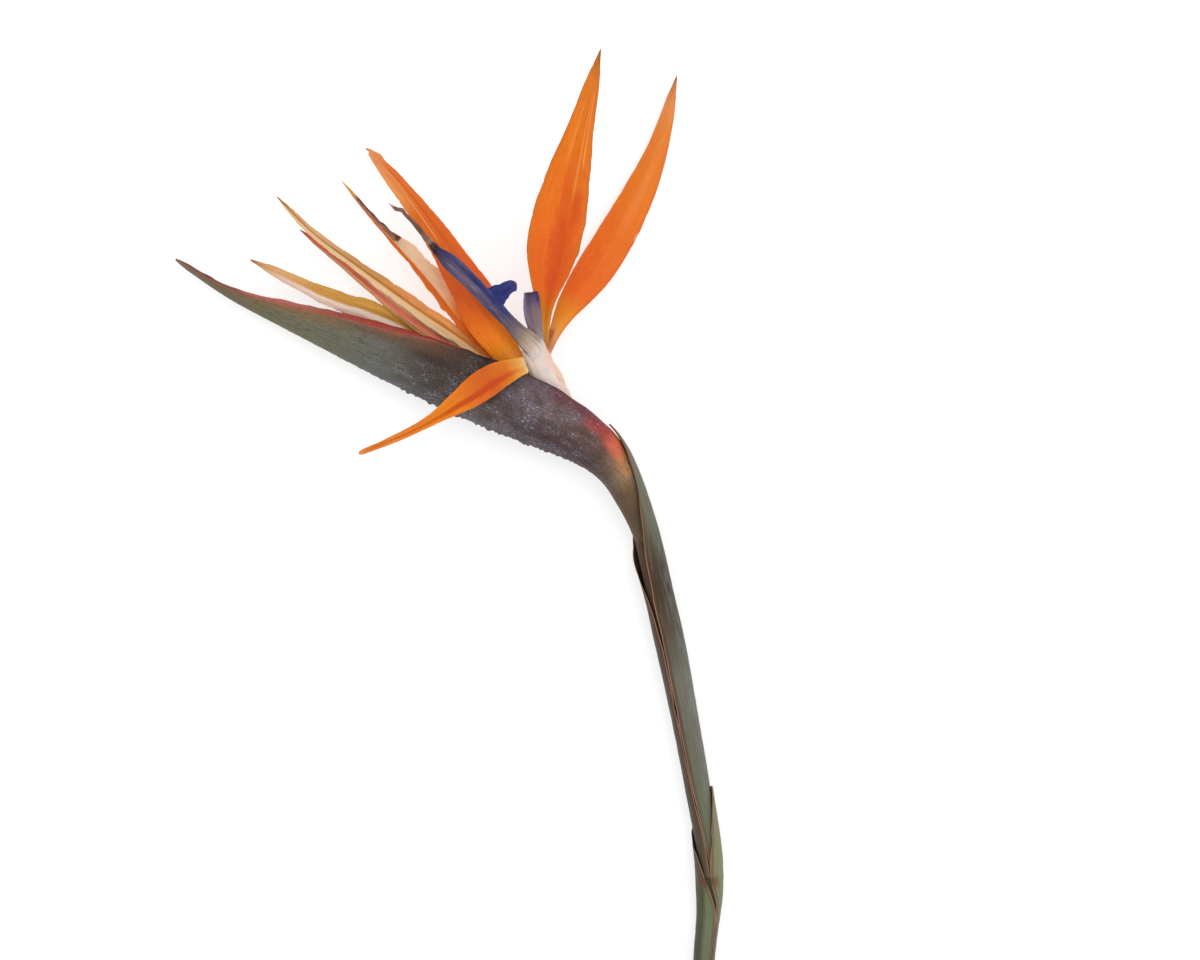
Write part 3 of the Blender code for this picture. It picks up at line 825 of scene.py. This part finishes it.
skin, colour, along, across, mottle = make_petal(
    "second_tall_petal", "second_tall_sepal", "second_floret_base", "sepal_orange", 77,
    # The root stops are painted brighter than the sepal's own orange: painted light against the
    # shade under the arrow.
    [(0, "f49a44"), (0.07, "ff9416"), (0.14, "ff8616"), (0.22, "f07016"), (0.32, "e2601a"),
     (0.5, "dd6625"), (0.68, "de712a"), (0.8, "e98e4c"), (0.93, "ea955a"), (1, "eaa068")],
    veins=0.22, seed=4, ragged=0.35, taper=0.012, foot=(28.8, 80.3, 13.4, 3.2),
    extra=lambda t, u: -0.4 * bump(u, 0.35, 0.1) * np.sin(pi * t),
    outline=lambda t, u: (u > 0) * (0.9 * bump(t, 0.945, 0.02)
                                    - 0.7 * np.clip((t - 0.965) / 0.035, 0, 1) ** 1.5),
    notch=lambda u: 1.8 * np.clip(-(u + 0.1) / 0.3, 0, 1) + 1.3 * bump(u, -0.4, 0.13))
pale = (across + (mottle - 0.5) * 0.6).band(-0.2, -0.8)
paint(
    skin, colour,
    ("cb4f16", across.strip(0.3, 0.02, 0.14) * along.strip(0.6, 0.25, 0.1) * 0.6),
    ("d9682a", across.band(0.15, 0.4) * along.strip(0.7, 0.16, 0.12) * 0.7),
    ("f2a468", pale * along.band(0.66, 0.82) * 0.7),
    # Painted highlight: a short pale streak left of the middle.
    ("f2a05c", across.strip(-0.12, 0.02, 0.07) * along.strip(0.66, 0.08, 0.06) * 0.8))

skin, colour, along, across, mottle = make_petal(
    "second_folded_petal", "second_folded_sepal", "second_floret_base", "sepal_fading", 79,
    [(0, "f0943c"), (0.1, "fa8f28"), (0.2, "f07e26"), (0.28, "ee9048"), (0.36, "f6be92"),
     (0.45, "f0c49c"), (0.6, "f2ceaa"), (0.66, "e4bc9a"), (0.9, "c88e6a"), (1, "dca660")],
    veins=0.25, seed=5, ragged=0.5,
    extra=lambda t, u: -0.4 * bump(u, -0.45, 0.12) * np.sin(pi * t),
    outline=lambda t, u: (u > 0) * (1.1 * bump(t, 0.61, 0.05) - 0.45 * bump(t, 0.78, 0.09, 4)
                                    + 0.2 * np.sin(95 * t) * bump(t, 0.74, 0.08, 4)))
drift = (mottle - 0.5) * 0.3
lane = across + drift
streak = grain(skin, across * 7, along * 30, 9)
withered = (along + drift * 0.15).strip(0.785, 0.115, 0.012) * lane.band(-0.4, -0.2)
dark_edge = lane.band(0.15, 0.4) * streak.band(0.62, 0.5) * along.band(0.74, 0.8)
paint(
    skin, colour,
    ("dc6c24", lane.band(-0.35, -0.6) * along.band(0.92, 0.8)),
    ("e88a3c", across.band(-0.75, -1.0) * along.band(0.2, 0.7) * 0.6),
    ("a06c56", withered),
    ("4a2f28", withered * streak.band(0.5, 0.6) * lane.band(-0.3, 0.5)),
    ("38221e", withered * dark_edge * 0.85),
    ("c9b0a4", withered * streak.band(0.42, 0.34) * 0.7),
    ("5a2e26", along.strip(0.668, 0.006, 0.008) * across.band(-0.2, 0.2) * 0.8),
    ("dfa04a", along.band(0.9, 0.93)))

# ================================================================ the fresh floret
# The floret in full bloom: a white stalk clasped by a thin pinkish bract, three orange sepals,
# two blue petals fused into an arrow, a short blue hood and the withered tip of the style.
skin, colour, along, across = make_stalk(
    "fresh_stalk", "fresh_floret_base", 65,
    [(0, "dcc0b4"), (0.25, "e6d4ce"), (0.6, "eadad2"), (0.85, "e4d4cc"), (1, "dccbc4")])
paint(
    skin, colour,
    # Painted light: the left side is painted paler against the shade where the section rounds away.
    ("f0d8c0", across.band(-0.3, -0.9) * 0.7),
    ("e9c0a8", across.band(0.3, 0.9) * 0.7),
    ("b56a42", along.strip(0.68, 0.05, 0.06) * across.band(-0.75, -0.98) * 0.8))

BRACT_THICKNESS = 1.2
BARB_ROOT = (0.26, 0.6)    # where the barb joins the tongue, along it
BARB_MIDDLE = 0.45


def make_bract():
    """The thin bract that clasps the fresh floret's stalk."""
    stalk = Midline("fresh_floret_base", "stem", stations=31, edge=0.14)
    wrap = Wrap(stalk, "floret_bract", np.linspace(0.02, 0.98, 80), reach=12, opening=180,
                columns=7, nearest=4)
    t, q = np.linspace(0, 1, 90), np.linspace(0, 1, 41)
    across = 1 - 2 * q
    line, angle, outer = wrap.at(t, q, times=3)
    outer = outer + 0.05 * ripple(66, (16, 9), t, -across)
    # Its lower end is drawn in on to the stalk, and its inner face lies against it.
    outer -= 0.55 + 1.3 * np.clip((0.35 - t) / 0.35, 0, 1)[:, None] + 0.9 * np.abs(across) ** 6
    rings = round_stalk(line, angle, outer - BRACT_THICKNESS, outer)
    piece = lofted("clasping_bract", rings, t, across=folded(across, across))
    skin = finished(piece, "floret_bract", 0.45, glow=0.15)
    along, across = skin.fields()
    line = grain(skin, across * 20, along * 4, 3)
    paint(
        skin, along.ramp([(0, "ddb09a"), (0.4, "e8c8b3"), (1, "e3cdbd")]),
        ("c58f78", line.band(0.5, 0.75) * 0.35),
        ("dcbaac", abs(across).band(0.88, 0.98) * 0.5))
    relief(skin, line, 0.1)


make_bract()

skin, colour, along, across, mottle = make_petal(
    "tall_petal", "tall_sepal", "fresh_floret_base", "sepal_orange", 81,
    [(0, "dc9a5c"), (0.05, "e8a040"), (0.1, "e28a26"), (0.2, "e66a14"), (0.3, "e66c16"),
     (0.4, "ea741c"), (0.5, "ea7a20"), (0.6, "e87a22"), (0.7, "ea802c"), (0.8, "e88030"),
     (0.9, "e48436"), (1, "b87844")],
    veins=0.2, seed=6, curl=1.6, uneven=0.35, ragged=0.3, foot=(36.4, 86.5, 14.6, 1.0),
    extra=lambda t, u: -0.35 * bump(u, 0.1, 0.14) * np.sin(pi * t))
drift = (mottle - 0.5) * 0.5
lane = across + drift
middle = lane.strip(0.02, 0.05, 0.2) * along.band(0.3, 0.5) * along.band(0.75, 0.5)
paint(
    skin, colour,
    ("cc4410", lane.strip(0.25, 0.15, 0.4) * along.strip(0.27, 0.1, 0.2) * 0.45),
    ("d64f18", middle * 0.4),
    ("d04a14", lane.strip(0.55, 0.1, 0.2) * along.strip(0.47, 0.03, 0.06) * 0.5),
    # Painted highlights: pale streaks along the sepal where it catches the light.
    ("f3a05c", across.strip(0.36, 0.015, 0.06) * along.strip(0.68, 0.12, 0.1) * 0.55),
    ("f6b070", across.strip(0.58, 0.01, 0.06) * along.strip(0.74, 0.1, 0.06) * 0.6),
    ("f09848", (across + drift * 0.2).strip(-0.28, 0.03, 0.12)
     * along.strip(0.72, 0.06, 0.08) * 0.5),
    ("d4752c", across.band(-0.7, -0.98) * 0.7),
    ("d07a40", across.band(0.8, 1.0) * 0.7),
    ("b5602a", abs(across).band(0.96, 1.0) * 0.6))

skin, colour, along, across, mottle = make_petal(
    "right_petal", "right_sepal", "fresh_floret_base", "sepal_orange", 83,
    [(0, "c48a60"), (0.04, "e0a060"), (0.08, "e8963a"), (0.13, "e68a2e"), (0.2, "e86e14"),
     (0.3, "e77018"), (0.4, "e7741c"), (0.5, "e7781e"), (0.6, "e67e24"), (0.7, "e57e30"),
     (0.8, "e4843a"), (0.9, "e89555"), (0.96, "d98450"), (1, "a8603a")],
    veins=0.1, seed=7, curl=1.5, uneven=0.2, ragged=0.15, ridges=0.03, foot=(38.6, 84.6, 13.8, 1.1))
drift = (mottle - 0.5) * 0.4
paint(
    skin, colour,
    # Painted highlight: a soft pale patch in the middle of the sepal.
    ("ee9a58", (across + drift * 0.6).strip(0.1, 0.1, 0.3) * along.strip(0.64, 0.1, 0.14) * 0.25),
    ("cf6c38", across.band(0.75, 1.0) * 0.7),
    ("d98a50", across.band(-0.85, -1.0) * 0.7),
    # Painted highlight: a thin glint near the right margin.
    ("fbe3cc", across.band(0.86, 0.95) * along.strip(0.46, 0.008, 0.01) * 0.35),
    ("e0bca6", along.band(0.0, -0.03)),
    ("a04a20", along.strip(0.02, 0.03, 0.03) * (across + drift).band(0.3, -0.3)
     * mottle.band(0.42, 0.62) * 0.7))

skin, colour, along, across, mottle = make_petal(
    "drooping_petal", "drooping_sepal", "fresh_floret_base", "sepal_orange", 85,
    [(0, "ecb868"), (0.04, "e6a04a"), (0.09, "dc7826"), (0.2, "d4651d"), (0.3, "de701e"),
     (0.4, "ea8222"), (0.5, "ec8a2c"), (0.6, "ee8c34"), (0.7, "ee8a38"), (0.8, "f08f44"),
     (0.92, "ea8438"), (1, "ee9a58")],
    veins=0.12, seed=8, curl=1.2, uneven=0.2, ragged=0.15, ridges=0.03, taper=0.025,
    foot=(28.6, 82.2, 16.2, 1.8),
    extra=lambda t, u: -0.9 * bump(u, -0.25, 0.18) * np.sin(pi * t),
    outline=lambda t, u: 0.45 * bump(t, 0.97, 0.08) + 0.35 * (u < 0) * bump(t, 0.82, 0.12))
drift = (mottle - 0.5) * 0.25
crease = (across + drift).strip(-0.28, 0.06, 0.32) * along.strip(0.28, 0.12, 0.22)
paint(
    skin, colour,
    ("c84a12", crease * 0.75),
    ("eba036", abs(across).band(0.7, 1.0) * along.band(0.2, 0.02) * 0.7),
    ("c4692e", across.band(-0.85, -1.0) * along.band(0.05, 0.2) * 0.4),
    ("ecd0aa", along.band(0.01, -0.02) * 0.8))


def make_arrow():
    """The two fused blue petals: a long keeled tongue, and the barb that stands off its side."""
    tongue = make_blade("arrow_tongue", "arrow_petals", "fresh_floret_base", seed=9, curl=1.5,
                        thick=1.2, uneven=0.12, ragged=0.2, ridges=0.3, taper=0.004,
                        bridged=BARB_ROOT, foot=(34.4, 85.2, 17.4, 4.3),
                        extra=lambda t, u: 0.28 * np.cos(2.6 * pi * u) * np.sin(pi * t) ** 0.4)
    skin = finished(tongue, "arrow_petals", 0.42)
    along, across = skin.fields()
    line = grain(skin, across * 22, along * 5, 1)
    mottle = grain(skin, across * 3, along * 14, 2)
    past_foot = along.band(0.2, 0.38)
    blue = (across + (mottle - 0.5) * 0.2).band(0.0, 0.25) * past_foot
    grey = across.strip(-0.3, 0.04, 0.1) * along.strip(0.6, 0.25, 0.12) * mottle.band(0.35, 0.6)
    paint(
        skin,
        along.ramp([(0, "c9b2a2"), (0.06, "b79f8c"), (0.12, "9a8778"), (0.2, "7a6c74"),
                    (0.3, "696074"), (0.42, "655d7e"), (0.55, "736880"), (0.7, "786a7e"),
                    (0.8, "686078"), (0.9, "554c68"), (0.955, "483d52"), (1, "2c2426")]),
        ("3e4270", blue * (0.95 - along.band(0.6, 0.85) * 0.5)),
        ("46538a", across.band(0.3, 0.8) * along.strip(0.41, 0.08, 0.08) * 0.85),
        ("3f3a66", across.strip(-0.75, 0.02, 0.08) * past_foot * 0.5),
        ("9a8894", grey * 0.7),
        ("4a3550", across.band(-0.8, -1.0) * along.band(0.45, 0.05) * 0.85),
        ("8f8288", across.band(0.3, 0.9) * along.band(0.12, 0.02) * 0.7),
        ("2a284e", line.band(0.5, 0.66) * along.band(0.02, 0.25) * 0.75),
        ("9a94b0", line.band(0.42, 0.28) * along.band(0.1, 0.3) * 0.55),
        ("e2d3cb", along.band(0.02, -0.06)))
    relief(skin, line + mottle * 0.4, 0.2)

    # The barb is a broad lobe: it leaves the tongue's right margin and ends in a rounded tip.
    body = Midline("arrow_petals", "fresh_floret_base", bridged=BARB_ROOT)
    point, side, _ = (each[0] for each in body.at(np.array([BARB_MIDDLE])))
    points = corners("arrow_petals").reshape(-1, 3)
    upper = points[((points - point) @ side > 4) & (points[:, 2] > point[2] - 2)]
    tip = upper[np.argmax((upper - point) @ side)] + side * 0.6
    start = point - UP * 0.4
    bend = (start + tip) / 2 + np.array([-0.5, 0.3, -0.4])
    t = np.sin(0.5 * pi * np.linspace(0, 1, 110))
    turn = turns(64)
    u = np.cos(turn)
    line = through([0, 0.5, 1], np.array([start, bend, tip]), t)
    _, side, up = directions(np.gradient(line, axis=0))
    width = profile([(0, 4.7), (0.35, 4.0), (0.6, 2.9), (0.8, 2.4), (0.93, 2.3), (1, 2.1)], t)
    width = (width * np.sqrt(np.clip((1.004 - t) / 0.12, 0, 1)))[:, None]
    height = 0.5 * np.sin(turn) * (0.3 + 0.7 * width / width.max())
    height += 0.5 * np.cos(1.3 * pi * (u - 0.1)) * np.minimum(width / 2, 1)
    height += 0.15 * ripple(91, (8, 6), t, u)
    away = width * u + 0.2 * wobble(92, 10, t)[:, None]
    barb = lofted("arrow_barb", placed((line, side, up), away, height), t, across=u)
    skin = finished(barb, "arrow_petals", 0.4)
    along, across = skin.fields()
    line = grain(skin, across * 9, along * 4, 3)
    rim = abs(across).band(0.85, 1.0)
    paint(
        skin,
        along.ramp([(0, "4d4a72"), (0.3, "343a72"), (0.7, "3a417a"), (0.93, "44457a"),
                    (1, "74647a")]),
        ("2c3068", across.strip(0.1, 0.08, 0.3) * 0.7),
        ("25264f", line.band(0.5, 0.7) * 0.5),
        # Painted highlight: pale streaks on the dark blue barb.
        ("6670a4", line.band(0.42, 0.28) * 0.45),
        ("6f5f74", rim * along.band(0.4, 0.9) * 0.8))
    relief(skin, line, 0.15)


make_arrow()

hood = make_blade("hood_blade", "hood_petal", "fresh_floret_base", seed=10, curl=1.3, thick=0.7,
                  uneven=0.15, ragged=0.1, ridges=0.0, taper=0.005, foot=(35.2, 86.8, 16.6, 2.2),
                  extra=lambda t, u: 0.3 * np.cos(2.2 * pi * u) * t,
                  outline=lambda t, u: -0.4 * (u > 0) * np.sin(pi * t))
HOOD_BLUES = [(0, "ac9a98"), (0.1, "9c8b8c"), (0.2, "917f86"), (0.4, "8a7880"), (0.6, "80707e"),
              (0.8, "6a5b70"), (0.94, "5a4d66"), (1, "4c3838")]
skin = finished(hood, "hood_petal", 0.45)
along, across = skin.fields()
line = grain(skin, across * 14, along * 3, 4)
paint(
    skin, along.ramp(HOOD_BLUES),
    ("846a68", across.strip(0.25, 0.2, 0.25) * along.strip(0.5, 0.15, 0.15) * 0.6),
    ("958a9c", across.band(-0.6, -0.95) * along.band(0.3, 0.5) * 0.8),
    ("3a3a74", across.band(0.4, 0.7) * along.band(0.72, 0.88) * 0.8),
    ("4a4468", line.band(0.5, 0.75) * 0.35),
    ("dccfc8", along.band(-0.02, -0.15)))
relief(skin, line, 0.15)


# Each strand: how far to the right it lies, its radius, how far along it ends, and its seed.
STRANDS = [(-0.62, 0.42, 0.86, 95), (-0.1, 0.5, 1.0, 97), (0.5, 0.45, 0.93, 99),
           (0.85, 0.22, 0.62, 101)]
STRAND_BROWNS = [(0, "3e3032"), (0.05, "4e3c3b"), (0.1, "94827a"), (0.17, "8c6c60"),
                 (0.3, "7e5c50"), (0.5, "7c594c"), (0.7, "8c6658"), (0.86, "866052"),
                 (0.94, "9a7c70"), (1, "b8aea8")]
KINKS = [(0, 0), (0.35, -0.1), (0.5, 0.15), (0.66, 0.1), (0.76, 0.55), (0.84, -0.3), (1, 0.2)]
SPREAD = [(0, 1.5), (0.12, 1), (0.45, 0.7), (0.7, 0.5), (0.8, 1.1), (1, 0.3)]


def make_style():
    """The dried tip of the style: dark fibres lying side by side, kinked and frayed at the end."""
    body = Midline("withered_style", "arrow_petals", stations=31)
    t = np.linspace(0, 1, 150)
    point, side, up = body.at(t)
    point[0] += (point[0] - point[3]) * 2.5      # its root, drawn back into the tongue's end
    turn = turns(24)
    for strand, (lane, girth, end, seed) in enumerate(STRANDS):
        aside = lane * profile(SPREAD, t) + profile(KINKS, t) + 0.12 * wobble(seed, 12, t)
        radius = girth * (1 + 0.2 * wobble(seed + 1, 12, t)) * np.clip((end - t) / 0.16, 0.12, 1)
        lobes = 1 + 0.25 * np.cos(2 * turn + 3 * t[:, None] + seed)
        away = aside[:, None] + radius[:, None] * lobes * np.cos(turn)
        height = 0.3 * wobble(seed + 2, 12, t)[:, None]
        height = height + 0.8 * radius[:, None] * lobes * np.sin(turn)
        rings = placed((point, side, up), away, height)[t < end]
        piece = lofted(f"style_strand_{strand}", rings, t[t < end], across=np.cos(turn))
        skin = finished(piece, "withered_style", 0.75)
        along, across = skin.fields()
        line = grain(skin, across * 6, along * 7, seed)
        paint(
            skin, along.ramp(STRAND_BROWNS),
            ("b8a49a", line.band(0.54, 0.64) * 0.6),
            ("2a1c1a", line.band(0.44, 0.34) * 0.75))
        relief(skin, line, 0.3)


make_style()

# ================================================================ the table, light and camera
# A plain white table under one large soft lamp and a bright, even sky. The camera looks straight
# down, and is set off from the flower's middle.
FLOOR_SIZE = 8.0
TABLE_DROP = 0.0002
TABLE_GREY, TABLE_GLOW = 0.45, 0.64      # its glow fills in the shadows, as a lit table does
SKY_LIGHT = 0.89
LAMP_SIZE, LAMP_POWER = 0.9, 4.0
LAMP_PLACE, LAMP_TILT = (0.45, 0.5, 1.15), (radians(-22), radians(20), 0)
LENS, SENSOR = 85.0, 36.0
VIEW_RIGHT, VIEW_UP, VIEW_HEIGHT = 0.0577, 0.0388, 1.087
WHITE = (1.0, 1.0, 1.0, 1)

bpy.ops.mesh.primitive_plane_add(size=FLOOR_SIZE, location=(0, 0, -TABLE_DROP))
table = bpy.context.object
table.name = "table_top"
material = bpy.data.materials.new("table_top")
material.use_nodes = True
surface = Wire(material.node_tree.nodes["Principled BSDF"].outputs[0])
surface.feed("Base Color", (TABLE_GREY, TABLE_GREY, TABLE_GREY, 1))
surface.feed("Roughness", 0.8)
surface.feed("Specular IOR Level", 0.1)
surface.feed("Emission Color", WHITE)
surface.feed("Emission Strength", TABLE_GLOW)
table.data.materials.append(material)

world = bpy.data.worlds.new("sky")
world.use_nodes = True
world.node_tree.nodes["Background"].inputs["Color"].default_value = WHITE
world.node_tree.nodes["Background"].inputs["Strength"].default_value = SKY_LIGHT
bpy.context.scene.world = world

lamp = bpy.data.lights.new("soft_lamp", "AREA")
lamp.shape = "DISK"
lamp.size = LAMP_SIZE
lamp.energy = LAMP_POWER
lamp_object = bpy.data.objects.new("soft_lamp", lamp)
lamp_object.location = LAMP_PLACE
lamp_object.rotation_euler = LAMP_TILT
bpy.context.scene.collection.objects.link(lamp_object)

camera = bpy.data.cameras.new("camera")
camera.lens = LENS
camera.sensor_width = SENSOR
camera_object = bpy.data.objects.new("camera", camera)
camera_object.location = (VIEW_RIGHT, VIEW_UP, VIEW_HEIGHT)
bpy.context.scene.collection.objects.link(camera_object)
bpy.context.scene.camera = camera_object
bpy.context.scene.view_settings.view_transform = "Standard"
